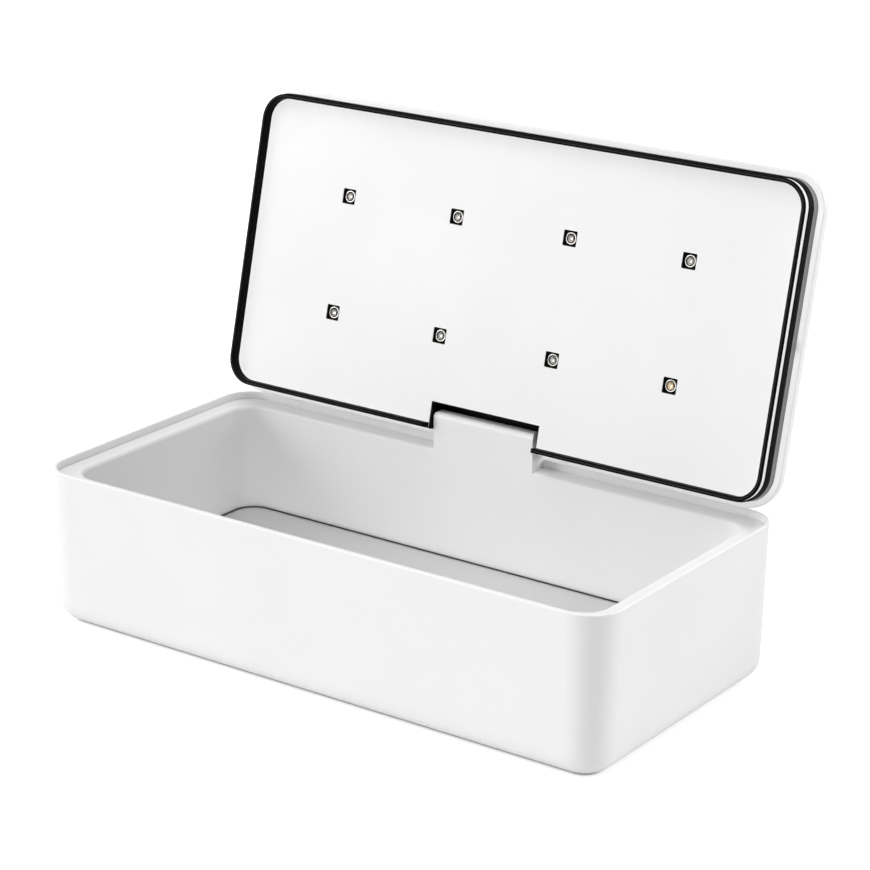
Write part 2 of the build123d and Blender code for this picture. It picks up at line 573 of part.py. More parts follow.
# ---------------------------------------------------------------- seals
with BuildPart() as lip_seal:
    ring(BOSS_INSET - SEAL_OVERHANG, SEAL_INNER, SEAL_BOTTOM, BOSS_BOTTOM)
    ring(BOSS_INSET + BOSS_WALL, SEAL_INNER, BOSS_BOTTOM, PANEL_Z)
    block((-NOTCH_HALF, NOTCH_HALF), (NOTCH_FRONT, HALF_DEPTH), (SEAL_BOTTOM, PANEL_Z), Mode.SUBTRACT)
    fillet(lip_seal.faces().sort_by(Axis.Z)[0].edges(), SEAL_ROUNDING)
    # the seal turns up over the boss's cut ends beside the hinge block
    for low, high in ((-SEAL_END, -NOTCH_HALF), (NOTCH_HALF, SEAL_END)):
        block((low, high), (BOSS_REAR - BOSS_WALL, BOSS_REAR), (BOSS_BOTTOM, PANEL_Z))
finish_on_lid(lip_seal, "lip_seal")

with BuildPart() as root_gasket:
    ring(BAND_INSET, BOSS_INSET, BASE_HEIGHT + ROOT_GASKET_RISE, PANEL_TOP)
    ring(BAND_INSET, TRIM_INNER, PANEL_TOP, TRIM_FOOT)
    block((-NOTCH_HALF, NOTCH_HALF), (NOTCH_FRONT, HALF_DEPTH), (BASE_HEIGHT, PANEL_TOP), Mode.SUBTRACT)
    ears_room()
finish_on_lid(root_gasket, "root_gasket")

# grey ring between the gasket and the shell's lip
with BuildPart() as rim_trim:
    ring(BAND_INSET, TRIM_INNER, TRIM_FOOT, TRIM_TOP)
    ears_room()
finish_on_lid(rim_trim, "rim_trim")

# black liner that closes the slot above the hinge block to light
with BuildPart() as slot_liner:
    liner_floor = PANEL_Z + LINER_RECESS
    liner_top = ROOF_Z - LINER_ROOF
    wall_end = HALF_DEPTH - LID_WALL - LINER_WALL
    block((-NOTCH_HALF, NOTCH_HALF), (NOTCH_FRONT, wall_end), (liner_floor, liner_top))
    block(
        (LINER_WALL - NOTCH_HALF, NOTCH_HALF - LINER_WALL),
        (NOTCH_FRONT + LINER_WALL, wall_end),
        (liner_floor, liner_top),
        Mode.SUBTRACT,
    )
    roof_end = HALF_DEPTH - LID_WALL - LID_TOP_EDGE
    block((-NOTCH_HALF, NOTCH_HALF), (NOTCH_FRONT, roof_end), (liner_top, ROOF_Z))
    hinge_round(PIN_RADIUS + SWING_GAP, -NOTCH_HALF, NOTCH_HALF, mode=Mode.SUBTRACT)
finish_on_lid(slot_liner, "slot_liner")

# ---------------------------------------------------------------- hinge pins
with BuildPart() as right_hinge_pin:
    hinge_round(PIN_RADIUS, BLOCK_RIGHT - PIN_REACH, EARS_END)
    chamfer(right_hinge_pin.edges(), PIN_TIP)
finish_on_lid(right_hinge_pin, "right_hinge_pin")

with BuildPart() as left_hinge_pin:
    hinge_round(PIN_RADIUS, -EARS_END, BLOCK_LEFT + PIN_REACH)
    chamfer(left_hinge_pin.edges(), PIN_TIP)
    hinge_round(PIN_BORE, -EARS_END, BLOCK_LEFT + PIN_REACH, mode=Mode.SUBTRACT)
finish_on_lid(left_hinge_pin, "left_hinge_pin")

# ---------------------------------------------------------------- lamps
LAMP_ROW_NAMES = {LAMP_ROW_PITCH / 2: "rear_lamp_board", -LAMP_ROW_PITCH / 2: "front_lamp_board"}
for row_y, board_name in LAMP_ROW_NAMES.items():
    with BuildPart() as lamp_board:
        with BuildSketch(Plane.XY.offset(PANEL_TOP)):
            with Locations((0, row_y)):
                RectangleRounded(STRIP_LENGTH, STRIP_WIDTH, STAKE_RADIUS)
                with GridLocations(STRIP_LENGTH - 2 * STAKE_INSET, 0, 2, 1):
                    Circle(STAKE_RADIUS + PANEL_FIT, mode=Mode.SUBTRACT)
        extrude(amount=STRIP_THICKNESS)
        # dark collars that line the panel's windows
        collar = LAMP_WINDOW - 2 * PANEL_FIT
        with BuildSketch(Plane.XY.offset(PANEL_Z + COLLAR_SETBACK)):
            with Locations((0, row_y)):
                with GridLocations(LAMP_PITCH, 0, LAMP_COLUMNS, 1):
                    RectangleRounded(collar, collar, WINDOW_CORNER)
                    Rectangle(collar - 2 * COLLAR_WALL, collar - 2 * COLLAR_WALL, mode=Mode.SUBTRACT)
        extrude(amount=PANEL_THICKNESS - COLLAR_SETBACK)
    finish_on_lid(lamp_board, board_name)

for number, spot in enumerate(LAMP_SPOTS, start=1):
    lamp_x = spot.position.X
    lamp_y = spot.position.Y
    face_z = PANEL_TOP - LAMP_HEIGHT
    # package with a conical reflector cup that opens towards the chamber
    with BuildPart() as uv_lamp:
        with BuildSketch(Plane.XY.offset(PANEL_TOP)):
            with Locations((lamp_x, lamp_y)):
                RectangleRounded(LAMP_SIZE, LAMP_SIZE, WINDOW_CORNER)
        extrude(amount=-LAMP_HEIGHT)
        with Locations((lamp_x, lamp_y, face_z + LAMP_CUP_DEPTH / 2)):
            Cone(LAMP_CUP_TOP, LAMP_CUP_BOTTOM, LAMP_CUP_DEPTH, mode=Mode.SUBTRACT)
    finish_on_lid(uv_lamp, f"uv_lamp_{number}")
    # quartz lens on the chip
    with BuildPart() as lamp_lens:
        with BuildSketch(Plane(origin=(lamp_x, lamp_y, 0), x_dir=(1, 0, 0), z_dir=(0, -1, 0))) as dome:
            with Locations((0, face_z + LAMP_CUP_DEPTH)):
                Ellipse(LENS_RADIUS, LENS_HEIGHT)
                Rectangle(2 * LENS_RADIUS, LENS_HEIGHT, align=(Align.CENTER, Align.MIN), mode=Mode.SUBTRACT)
                Rectangle(LENS_RADIUS, 2 * LENS_HEIGHT, align=(Align.MAX, Align.CENTER), mode=Mode.SUBTRACT)
        revolve(axis=Axis((lamp_x, lamp_y, 0), (0, 0, 1)))
    finish_on_lid(lamp_lens, f"lamp_lens_{number}")

# ---------------------------------------------------------------- control board, switch and sensor magnet
with BuildPart() as control_board:
    with BuildSketch(Plane.XY.offset(CONTROL_TOP)):
        with Locations((0, BUTTON_Y)):
            RectangleRounded(CONTROL_LENGTH, CONTROL_DEPTH, SMALL_SCREW_RADIUS)
            with CONTROL_SPOTS:
                Circle(SMALL_SCREW_RADIUS + SCREW_ROOM, mode=Mode.SUBTRACT)
    extrude(amount=-CONTROL_THICKNESS)
finish_on_lid(control_board, "control_board")

with BuildPart() as control_screws:
    with BuildSketch(Plane.XY.offset(CONTROL_TOP - CONTROL_THICKNESS)) as heads:
        with Locations((0, BUTTON_Y)):
            with CONTROL_SPOTS:
                Circle(SMALL_HEAD_RADIUS)
    extrude(amount=-SMALL_HEAD_HEIGHT)
    with BuildSketch(Plane.XY.offset(CONTROL_TOP - CONTROL_THICKNESS)) as shanks:
        with Locations((0, BUTTON_Y)):
            with CONTROL_SPOTS:
                Circle(SMALL_SCREW_RADIUS)
    extrude(amount=SMALL_SCREW_LENGTH)
finish_on_lid(control_screws, "control_screws")

with BuildPart() as switch_body:
    with BuildSketch(Plane.XY.offset(CONTROL_TOP)):
        with Locations((0, BUTTON_Y)):
            Rectangle(SWITCH_SIZE, SWITCH_SIZE)
    extrude(amount=SWITCH_HEIGHT)
    with BuildSketch(Plane.XY.offset(SWITCH_TOP)):
        with Locations((0, BUTTON_Y)):
            Circle(STEM_RADIUS + STEM_CLEARANCE)
    extrude(amount=-(STEM_ENGAGED + BUTTON_TRAVEL + SWING_GAP), mode=Mode.SUBTRACT)
finish_on_lid(switch_body, "switch_body")

with BuildPart() as switch_stem:
    with BuildSketch(Plane.XY.offset(SWITCH_TOP - STEM_ENGAGED)):
        with Locations((0, BUTTON_Y)):
            Circle(STEM_RADIUS)
    extrude(amount=STEM_ENGAGED + STEM_SHOWING)
finish_on_lid(switch_stem, "switch_stem")

with BuildPart() as indicator_ring:
    with BuildSketch(Plane.XY.offset(RING_FOOT)):
        with Locations((0, BUTTON_Y)):
            Circle(RING_RADIUS + RING_SHOULDER)
    extrude(amount=RING_SHOULDER_THICKNESS)
    with BuildSketch(Plane.XY.offset(ROOF_Z)):
        with Locations((0, BUTTON_Y)):
            Circle(RING_RADIUS - PANEL_FIT)
    extrude(amount=LID_ROOF)
    with BuildSketch(Plane.XY.offset(RING_FOOT)):
        with Locations((0, BUTTON_Y)):
            Circle(BUTTON_RADIUS + BUTTON_GAP)
    extrude(amount=LID_TOP - RING_FOOT, mode=Mode.SUBTRACT)
finish_on_lid(indicator_ring, "indicator_ring")

with BuildPart() as power_button:
    with BuildSketch(Plane.XY.offset(FLANGE_BOTTOM)):
        with Locations((0, BUTTON_Y)):
            Circle(BUTTON_RADIUS)
    extrude(amount=LID_TOP - FLANGE_BOTTOM)
    fillet(power_button.faces().sort_by(Axis.Z)[-1].edges(), BUTTON_DISH)
    with BuildSketch(Plane.XY.offset(FLANGE_BOTTOM)):
        with Locations((0, BUTTON_Y)):
            Circle(BUTTON_RADIUS + BUTTON_FLANGE)
    extrude(amount=BUTTON_FLANGE_THICKNESS)
    # finger dish
    dish_chord = BUTTON_RADIUS - 2 * BUTTON_DISH
    dish_radius = (dish_chord**2 + BUTTON_DISH**2) / (2 * BUTTON_DISH)
    with Locations((0, BUTTON_Y, LID_TOP - BUTTON_DISH + dish_radius)):
        Sphere(dish_radius, mode=Mode.SUBTRACT)
finish_on_lid(power_button, "power_button")

with BuildPart() as sensor_magnet:
    with BuildSketch(Plane.XY.offset(PANEL_TOP)):
        with Locations((MAGNET_X, 0)):
            Circle(MAGNET_RADIUS)
    extrude(amount=MAGNET_HEIGHT)
finish_on_lid(sensor_magnet, "sensor_magnet")

# ---------------------------------------------------------------- leads in the lid
STRIP_LEAD_Z = STRIP_TOP + LEAD_RADIUS
with BuildPart() as lid_lead:
    lead(
        [
            (LEAD_SPLICE - LEAD_ROOM, HINGE_Y, HINGE_Z),
            (LEAD_TURN_X, HINGE_Y, HINGE_Z),
            (LEAD_TURN_X, LAMP_ROW_PITCH / 2 + STRIP_WIDTH, STRIP_LEAD_Z),
            (LEAD_TURN_X, LAMP_ROW_PITCH / 2 + STRIP_WIDTH / 4, STRIP_LEAD_Z),
        ],
        LEAD_BEND,
    )
finish_on_lid(lid_lead, "lid_lead")

with BuildPart() as strip_lead:
    with BuildSketch(Plane.XZ.offset(STRIP_WIDTH / 4 - LAMP_ROW_PITCH / 2)):
        with Locations((LEAD_TURN_X, STRIP_LEAD_Z)):
            Circle(LEAD_RADIUS)
    extrude(amount=LAMP_ROW_PITCH - STRIP_WIDTH / 2)
finish_on_lid(strip_lead, "strip_lead")

with BuildPart() as control_lead:
    lead(
        [
            (0, STRIP_WIDTH / 4 - LAMP_ROW_PITCH / 2, STRIP_LEAD_Z),
            (0, BUTTON_Y + CONTROL_DEPTH / 2 + LEAD_BEND, STRIP_LEAD_Z),
            (0, BUTTON_Y + CONTROL_DEPTH / 2 + LEAD_RADIUS, CONTROL_TOP + LEAD_RADIUS + LEAD_ROOM),
            (0, BUTTON_Y + SWITCH_SIZE / 2, CONTROL_TOP + LEAD_RADIUS + LEAD_ROOM),
        ],
        LEAD_RADIUS,
    )
finish_on_lid(control_lead, "control_lead")
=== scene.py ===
from math import cos, pi, radians, sin

import bmesh
import bpy
from mathutils import Matrix, Vector


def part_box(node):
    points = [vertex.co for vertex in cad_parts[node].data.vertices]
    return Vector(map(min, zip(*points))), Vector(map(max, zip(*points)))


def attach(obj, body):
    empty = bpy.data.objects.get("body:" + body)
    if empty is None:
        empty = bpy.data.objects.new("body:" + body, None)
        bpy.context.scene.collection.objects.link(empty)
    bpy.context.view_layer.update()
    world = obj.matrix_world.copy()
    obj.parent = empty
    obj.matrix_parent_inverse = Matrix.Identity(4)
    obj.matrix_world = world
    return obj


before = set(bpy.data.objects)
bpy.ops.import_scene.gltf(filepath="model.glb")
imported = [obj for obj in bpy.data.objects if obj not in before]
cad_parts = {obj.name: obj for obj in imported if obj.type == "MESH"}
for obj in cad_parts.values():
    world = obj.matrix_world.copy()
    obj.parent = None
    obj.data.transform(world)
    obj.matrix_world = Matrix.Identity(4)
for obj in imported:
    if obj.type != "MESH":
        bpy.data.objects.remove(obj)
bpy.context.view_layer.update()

# Looks of the UV-C sanitiser box. Metres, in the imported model's frame: +X along the case,
# +Y to the hinge, +Z up. The CAD nodes keep their shapes and get materials here; the small
# things that only show close up, such as the chips under the lamps' lenses, are made here.

MM = 0.001
LAMP_NUMBERS = range(1, 9)

# ---------------------------------------------------------------- camera, as in the photograph
CAMERA_AZIMUTH = radians(35.33)
CAMERA_ELEVATION = radians(19.12)
CAMERA_ROLL = radians(0.508)
CAMERA_PLACE = Vector((0.5413, -0.7455, 0.3958))
LENS_MM = 119.8
SENSOR_MM = 36.0


def add_camera():
    away = Vector((
        sin(CAMERA_AZIMUTH) * cos(CAMERA_ELEVATION),
        -cos(CAMERA_AZIMUTH) * cos(CAMERA_ELEVATION),
        sin(CAMERA_ELEVATION),
    ))
    level = Vector((cos(CAMERA_AZIMUTH), sin(CAMERA_AZIMUTH), 0))
    upright = away.cross(level)
    right = cos(CAMERA_ROLL) * level + sin(CAMERA_ROLL) * upright
    up = cos(CAMERA_ROLL) * upright - sin(CAMERA_ROLL) * level
    data = bpy.data.cameras.new("camera")
    data.lens = LENS_MM
    data.sensor_width = SENSOR_MM
    data.clip_start = 0.01
    camera = bpy.data.objects.new("camera", data)
    turned = Matrix((right, up, away)).transposed().to_4x4()
    camera.matrix_world = Matrix.Translation(CAMERA_PLACE) @ turned
    bpy.context.scene.collection.objects.link(camera)
    bpy.context.scene.camera = camera


# ---------------------------------------------------------------- node helpers
class Shader:
    """A material's node tree with a Principled shader and short ways to add to it."""

    def __init__(self, name):
        self.material = bpy.data.materials.new(name)
        self.material.use_nodes = True
        self.tree = self.material.node_tree
        self.shader = self.tree.nodes["Principled BSDF"]
        self.place = self.add("ShaderNodeTexCoord").outputs["Object"]

    def add(self, kind, **inputs):
        node = self.tree.nodes.new(kind)
        for name, value in inputs.items():
            node.inputs[name.replace("_", " ")].default_value = value
        return node

    def link(self, source, target):
        self.tree.links.new(source, target)

    def set(self, **values):
        for name, value in values.items():
            self.shader.inputs[name.replace("_", " ")].default_value = value

    def stretched(self, scale):
        """The object's coordinates, stretched along the axes."""
        mapping = self.add("ShaderNodeMapping")
        mapping.inputs["Scale"].default_value = scale
        self.link(self.place, mapping.inputs["Vector"])
        return mapping.outputs["Vector"]

    def noise(self, scale, detail=3.0, rough=0.5, coordinates=None):
        """Noise with that many features to a metre."""
        node = self.add("ShaderNodeTexNoise", Scale=scale, Detail=detail, Roughness=rough)
        self.link(coordinates or self.place, node.inputs["Vector"])
        return node.outputs["Fac"]

    def spread(self, source, low, high, start=0.3, end=0.7):
        """Maps the middle of a noise to a range of values."""
        node = self.add("ShaderNodeMapRange")
        node.inputs["From Min"].default_value = start
        node.inputs["From Max"].default_value = end
        node.inputs["To Min"].default_value = low
        node.inputs["To Max"].default_value = high
        self.link(source, node.inputs["Value"])
        return node.outputs["Result"]

    def tint(self, source, first, second, start=0.3, end=0.7):
        """A colour between two, by a noise."""
        node = self.add("ShaderNodeValToRGB")
        ramp = node.color_ramp.elements
        ramp[0].position = start
        ramp[0].color = (*first, 1)
        ramp[1].position = end
        ramp[1].color = (*second, 1)
        self.link(source, node.inputs["Fac"])
        self.link(node.outputs["Color"], self.shader.inputs["Base Color"])

    def roughen(self, source, low, high):
        """Uneven gloss between two roughnesses, by a noise."""
        self.link(self.spread(source, low, high), self.shader.inputs["Roughness"])

    def bump(self, source, height):
        """Relief of that height, in metres."""
        node = self.add("ShaderNodeBump", Strength=1.0, Distance=height)
        self.link(source, node.inputs["Height"])
        self.link(node.outputs["Normal"], self.shader.inputs["Normal"])


# ---------------------------------------------------------------- materials
def grey(level):
    return (level, level, level)


def moulded_white(name, first, second, low, high, grain, depth):
    """Injection-moulded white: a fine spark-eroded grain, slightly uneven gloss and tone."""
    look = Shader(name)
    look.tint(look.noise(18, 4), first, second)
    look.roughen(look.noise(60, 3), low, high)
    look.bump(look.noise(grain, 2, 0.6), depth)
    look.set(IOR=1.5)
    return look.material


def satin_shell():
    return moulded_white("satin_shell", grey(0.86), grey(0.885), 0.3, 0.4, 2600, 0.004 * MM)


def matte_inside():
    return moulded_white("matte_inside", grey(0.832), grey(0.86), 0.45, 0.56, 2200, 0.006 * MM)


def reflector_sheet():
    """Fine brushed aluminium, brushed along the case."""
    look = Shader("reflector_sheet")
    brushed = look.noise(1.0, 5, 0.6, look.stretched((60, 4200, 4200)))
    look.tint(look.noise(14, 3), grey(0.705), grey(0.764))
    look.roughen(brushed, 0.34, 0.46)
    look.bump(brushed, 0.004 * MM)
    look.set(Metallic=1.0)
    return look.material


def silicone(name, first, second, low, high, sheen=0.5):
    """Moulded silicone rubber with a little dust-like unevenness in its sheen."""
    look = Shader(name)
    look.tint(look.noise(220, 4), first, second)
    look.roughen(look.noise(320, 3), low, high)
    look.bump(look.noise(1800, 2), 0.01 * MM)
    look.set(Specular_IOR_Level=sheen)
    return look.material


def solder_mask(name, dark, light, sheen=0.5):
    """Circuit board: solder mask over faint raised copper tracks."""
    look = Shader(name)
    weave = look.add("ShaderNodeTexBrick", Scale=260.0, Mortar_Size=0.12)
    look.link(look.stretched((1, 1, 1)), weave.inputs["Vector"])
    tracks = weave.outputs["Fac"]
    look.tint(tracks, dark, light, 0.2, 0.8)
    look.roughen(look.noise(500, 2), 0.25, 0.38)
    look.bump(tracks, 0.02 * MM)
    look.set(Specular_IOR_Level=sheen)
    return look.material


def plated(name, first, second, low, high):
    """Nickel or zinc plate with a fine turned grain."""
    look = Shader(name)
    look.tint(look.noise(400, 3), first, second)
    look.roughen(look.noise(900, 4), low, high)
    look.bump(look.noise(3000, 2), 0.003 * MM)
    look.set(Metallic=1.0)
    return look.material


def moulded_black():
    """Matt black moulding, for what lies in the dark of the notch and the lid."""
    look = Shader("moulded_black")
    look.tint(look.noise(150, 3), grey(0.004), grey(0.008))
    look.roughen(look.noise(400, 3), 0.5, 0.65)
    look.bump(look.noise(2400, 2), 0.006 * MM)
    look.set(Specular_IOR_Level=0.06)
    return look.material


def grey_trim():
    """Mid-grey moulded ring, satin, with the same grain as the white mouldings. Its grey is painted
    shade, standing in for the shade that falls on the lid's rim beside the proud black gasket.
    """
    look = Shader("grey_trim")
    look.tint(look.noise(40, 3), grey(0.19), grey(0.23))
    look.roughen(look.noise(90, 3), 0.38, 0.5)
    look.bump(look.noise(2600, 2, 0.6), 0.004 * MM)
    return look.material


def quartz():
    """Clear quartz glass with a trace of haze."""
    look = Shader("quartz")
    look.tint(look.noise(900, 2), (0.97, 0.96, 0.93), (1.0, 1.0, 0.99))
    look.roughen(look.noise(1500, 2), 0.01, 0.05)
    look.set(IOR=1.46, Transmission_Weight=1.0)
    return look.material


def frosted():
    """Milky light guide round the button."""
    look = Shader("frosted")
    look.tint(look.noise(300, 3), (0.72, 0.76, 0.82), (0.78, 0.81, 0.86))
    look.roughen(look.noise(700, 3), 0.35, 0.5)
    look.bump(look.noise(3200, 2), 0.004 * MM)
    look.set(Subsurface_Weight=0.2, Subsurface_Scale=0.001)
    return look.material


NODE_LOOKS = {
    satin_shell: ("base_shell", "lid_shell", "power_button"),
    matte_inside: ("inner_tub", "lid_panel"),
    reflector_sheet: ("floor_plate",),
    moulded_black: ("slot_liner", "lid_sensor", "switch_body", "switch_stem"),
    quartz: tuple(f"lamp_lens_{number}" for number in LAMP_NUMBERS),
    frosted: ("indicator_ring",),
    # painted shade: the rim ring is mid-grey to stand in for the shade beside the gasket
    grey_trim: ("rim_trim",),
}


def dress_nodes():
    looks = {make(): names for make, names in NODE_LOOKS.items()}
    looks[silicone("black_silicone", grey(0.001), grey(0.0025), 0.45, 0.6, 0.03)] = (
        "lip_seal", "root_gasket")
    looks[silicone("charcoal_silicone", grey(0.03), grey(0.045), 0.45, 0.6, 0.3)] = ("floor_gasket",)
    looks[silicone("grey_silicone", (0.42, 0.42, 0.43), (0.5, 0.5, 0.51), 0.5, 0.65)] = ("feet",)
    looks[silicone("lead_sleeve", grey(0.01), grey(0.02), 0.4, 0.5)] = (
        "sensor_lead", "hinge_lead", "lid_lead", "strip_lead", "control_lead")
    looks[solder_mask("green_board", (0.01, 0.09, 0.03), (0.02, 0.16, 0.06))] = (
        "power_board", "control_board")
    looks[solder_mask("black_board", grey(0.002), grey(0.004), 0.05)] = (
        "front_lamp_board", "rear_lamp_board")
    looks[plated("nickel", (0.62, 0.61, 0.59), (0.72, 0.71, 0.7), 0.15, 0.28)] = (
        "usb_socket", "left_hinge_pin", "right_hinge_pin", "sensor_magnet")
    looks[plated("zinc", (0.42, 0.43, 0.45), (0.52, 0.53, 0.55), 0.3, 0.45)] = (
        "board_screws", "bottom_screws", "control_screws")
    looks[solder_mask("dark_ceramic", grey(0.004), grey(0.009), 0.1)] = tuple(
        f"uv_lamp_{number}" for number in LAMP_NUMBERS)
    for material, names in looks.items():
        for name in names:
            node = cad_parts[name]
            node.data.materials.clear()
            node.data.materials.append(material)
    # under the studio's soft light the rubbers leave no hard shade beside them
    for name in ("rim_trim", "root_gasket", "lip_seal"):
        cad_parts[name].visible_shadow = False
        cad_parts[name].visible_diffuse = False


# ---------------------------------------------------------------- pieces on the lid
HINGE = Vector((0, 51.7, 62.8)) * MM
OPENING = Matrix.Rotation(radians(-103.5), 4, "X")
LID_OPEN = Matrix.Translation(HINGE) @ OPENING @ Matrix.Translation(-HINGE)
LAMP_TURN = OPENING @ Matrix.Rotation(pi, 4, "X")


def add_piece(name, mesh, *materials, smooth=True):
    """Turns a bmesh into an object that moves with the lid."""
    data = bpy.data.meshes.new(name)
    bmesh.ops.recalc_face_normals(mesh, faces=mesh.faces)
    for face in mesh.faces:
        face.smooth = smooth
    mesh.to_mesh(data)
    mesh.free()
    piece = bpy.data.objects.new(name, data)
    bpy.context.scene.collection.objects.link(piece)
    for material in materials:
        data.materials.append(material)
    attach(piece, "lid")
    return piece


def sweep(mesh, sections, closed=False):
    """Skins a row of equal closed sections, with a cap on each open end."""
    rings = [[mesh.verts.new(point) for point in section] for section in sections]
    count = len(rings[0])
    pairs = list(zip(rings, rings[1:])) + ([(rings[-1], rings[0])] if closed else [])
    for first, second in pairs:
        for i in range(count):
            j = (i + 1) % count
            mesh.faces.new((first[i], first[j], second[j], second[i]))
    if not closed:
        mesh.faces.new(rings[0][::-1])
        mesh.faces.new(rings[-1])


# the seal: a raised bead along the middle of its face, broken at the hinge block. Its rubber is painted
# lighter than the seal's black, a painted highlight along the seal's crest
CASE_HALF = (115.0, 56.5)
CASE_CORNER = 12.3
BEAD_INSET = 3.42
BEAD_Z = 54.0
BEAD_HALF_WIDTH = 0.24
BEAD_HEIGHT = 0.12
BEAD_ROOT = 0.02  # sunk into the seal's face
BEAD_END = 23.4
ARC_STEPS = 12
ROUND_STEPS = 8


def add_seal_bead(material):
    """Drawn as on the shut lid, then turned open with it."""
    half_x, half_y = (half - BEAD_INSET for half in CASE_HALF)
    radius = CASE_CORNER - BEAD_INSET
    path = [((BEAD_END, half_y), (0, 1))]
    for turn, (side_x, side_y) in enumerate(((1, 1), (1, -1), (-1, -1), (-1, 1))):
        for step in range(ARC_STEPS + 1):
            angle = pi / 2 - (turn + step / ARC_STEPS) * pi / 2
            out = (cos(angle), sin(angle))
            centre = (side_x * (half_x - radius), side_y * (half_y - radius))
            path.append(((centre[0] + radius * out[0], centre[1] + radius * out[1]), out))
    path.append(((-BEAD_END, half_y), (0, 1)))
    mesh = bmesh.new()
    sections = []
    for (x, y), (out_x, out_y) in path:
        section = []
        for step in range(ROUND_STEPS + 1):
            angle = pi * step / ROUND_STEPS
            across = BEAD_HALF_WIDTH * cos(angle)
            z = BEAD_Z + BEAD_ROOT - (BEAD_HEIGHT + BEAD_ROOT) * sin(angle)
            section.append(LID_OPEN @ (Vector((x + out_x * across, y + out_y * across, z)) * MM))
        sections.append(section)
    sweep(mesh, sections)
    add_piece("seal_bead", mesh, material)


# each lamp: a bright frame round the cup, a dark retainer round the lens, and under the quartz a pad
# with the chip and two bond wires. Profiles are radius and height from the lamp's middle, in mm.
FRAME = ((1.74, 0.49), (1.76, 0.57), (1.82, 0.6), (2.02, 0.6), (2.1, 0.55), (2.1, 0.49))
RETAINER = ((1.5, 0.2), (1.38, 0.54), (1.44, 0.6), (1.62, 0.58), (1.7, 0.5), (1.69, 0.2))
CUP_FLOOR = -0.1
PAD_BORE = 0.05
PAD_RADIUS = 1.4
PAD_FOOT = 0.01
PAD_EDGE = 0.03
PAD_HEIGHT = 0.05
PAD_BEVEL = 0.06
CHIP_SIDE = 1.0
CHIP_HEIGHT = 0.22
CHIP_BEVEL = 0.05
CHIP_TOP = CUP_FLOOR + PAD_HEIGHT + CHIP_HEIGHT
WIRE_RADIUS = 0.035
WIRE_SHIFT = 0.12  # to the side of the chip's middle
WIRE_START = 0.3
WIRE_SPAN = 0.62
WIRE_RISE = 0.26
WIRE_SINK = 0.02  # into the chip's top
WIRE_STEPS = 8
WIRE_SIDES = 6
AMBER_LAMP = 8


def lamp_place(number):
    """From a lamp's own frame, with +Z out of its window, to the open lid."""
    lowest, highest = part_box(f"uv_lamp_{number}")
    return Matrix.Translation((lowest + highest) / 2) @ LAMP_TURN


def lathe(mesh, place, profile, steps=40):
    """Turns a closed profile of radius and height about the lamp's axis."""
    sections = []
    for step in range(steps):
        angle = 2 * pi * step / steps
        sections.append([place @ (Vector((r * cos(angle), r * sin(angle), h)) * MM) for r, h in profile])
    sweep(mesh, sections, closed=True)


def add_pad(name, place, material):
    pad = bmesh.new()
    lathe(pad, place, (
        (PAD_BORE, CUP_FLOOR + PAD_FOOT),
        (PAD_BORE, CUP_FLOOR + PAD_HEIGHT),
        (PAD_RADIUS - PAD_BEVEL, CUP_FLOOR + PAD_HEIGHT),
        (PAD_RADIUS, CUP_FLOOR + PAD_EDGE),
        (PAD_RADIUS, CUP_FLOOR + PAD_FOOT),
    ))
    add_piece(name, pad, material)


def add_chip(name, place, material):
    chip = bmesh.new()
    bmesh.ops.create_cube(chip, size=1)
    size = Matrix.Diagonal((CHIP_SIDE * MM, CHIP_SIDE * MM, CHIP_HEIGHT * MM, 1))
    middle = Matrix.Translation((0, 0, (CHIP_TOP - CHIP_HEIGHT / 2) * MM))
    bmesh.ops.transform(chip, matrix=place @ middle @ size, verts=chip.verts)
    edges = list(chip.edges)
    bmesh.ops.bevel(chip, geom=edges, offset=CHIP_BEVEL * MM, segments=2, affect="EDGES")
    add_piece(name, chip, material, smooth=False)


def add_wire(mesh, place, side):
    """A bond wire in a low arch from the chip's top to the pad, on one side of the chip."""
    arch = []
    for step in range(WIRE_STEPS + 1):
        along = step / WIRE_STEPS
        y = side * (WIRE_START + WIRE_SPAN * along)
        fall = (CHIP_HEIGHT - WIRE_SINK) * along
        height = CHIP_TOP - WIRE_SINK + WIRE_RISE * sin(pi * along) - fall
        section = []
        for turn in range(WIRE_SIDES):
            angle = 2 * pi * turn / WIRE_SIDES
            x = WIRE_SHIFT * side + WIRE_RADIUS * cos(angle)
            section.append(place @ (Vector((x, y, height + WIRE_RADIUS * sin(angle))) * MM))
        arch.append(section)
    sweep(mesh, arch)


def add_lamp_insides(pad_looks, chip_looks, gold_look, ring_look, frame_look):
    rings = bmesh.new()
    frames = bmesh.new()
    wires = bmesh.new()
    for number in LAMP_NUMBERS:
        place = lamp_place(number)
        amber = number == AMBER_LAMP
        lathe(rings, place, RETAINER)
        lathe(frames, place, FRAME)
        add_pad(f"lamp_pad_{number}", place, pad_looks[amber])
        add_chip(f"lamp_chip_{number}", place, chip_looks[amber])
        for side in (-1, 1):
            add_wire(wires, place, side)
    add_piece("lens_retainers", rings, ring_look)
    add_piece("lamp_frames", frames, frame_look)
    add_piece("bond_wires", wires, gold_look)


